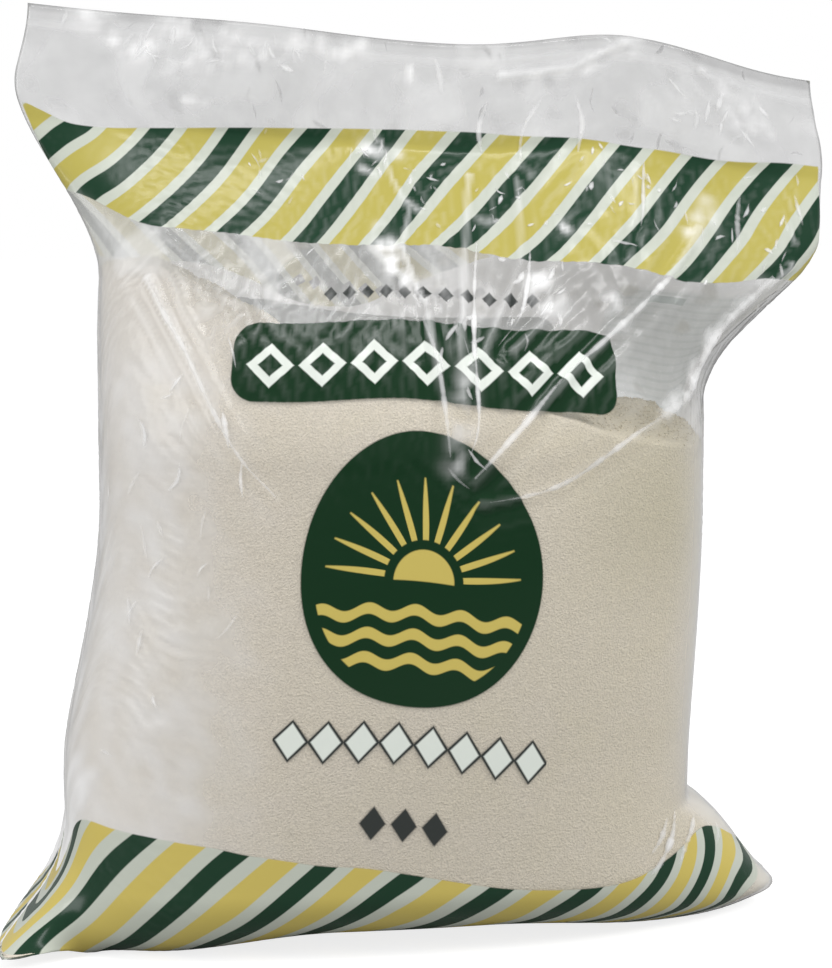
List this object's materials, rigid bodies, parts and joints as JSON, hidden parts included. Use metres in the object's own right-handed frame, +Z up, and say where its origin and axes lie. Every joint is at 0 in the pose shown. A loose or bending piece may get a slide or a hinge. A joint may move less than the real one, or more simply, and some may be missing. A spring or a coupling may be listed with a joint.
{
  "type": "sugar packet",
  "caption": "Filled pillow bag of clear film holding loose white sugar, standing on its base, with a flat sealed flap on top and striped printed bands.",
  "frame": {"origin": "middle of the bag's box at the level of its base", "axes": "+Z up from the base to the top seal, +X to the right as the printed front is seen, +Y from the front to the back"},
  "size_m": [0.3028, 0.138, 0.3182],
  "materials": {
    "film": "clear glossy film, seen with the sugar behind it",
    "sugar": "fine pale sugar grains",
    "green_ink": "dark green print on the film",
    "yellow_ink": "yellow print on the film",
    "white_ink": "thin white print on the film"
  },
  "bodies": {
    "root": {"sugar_bag": "film"}
  },
  "joints": []
}
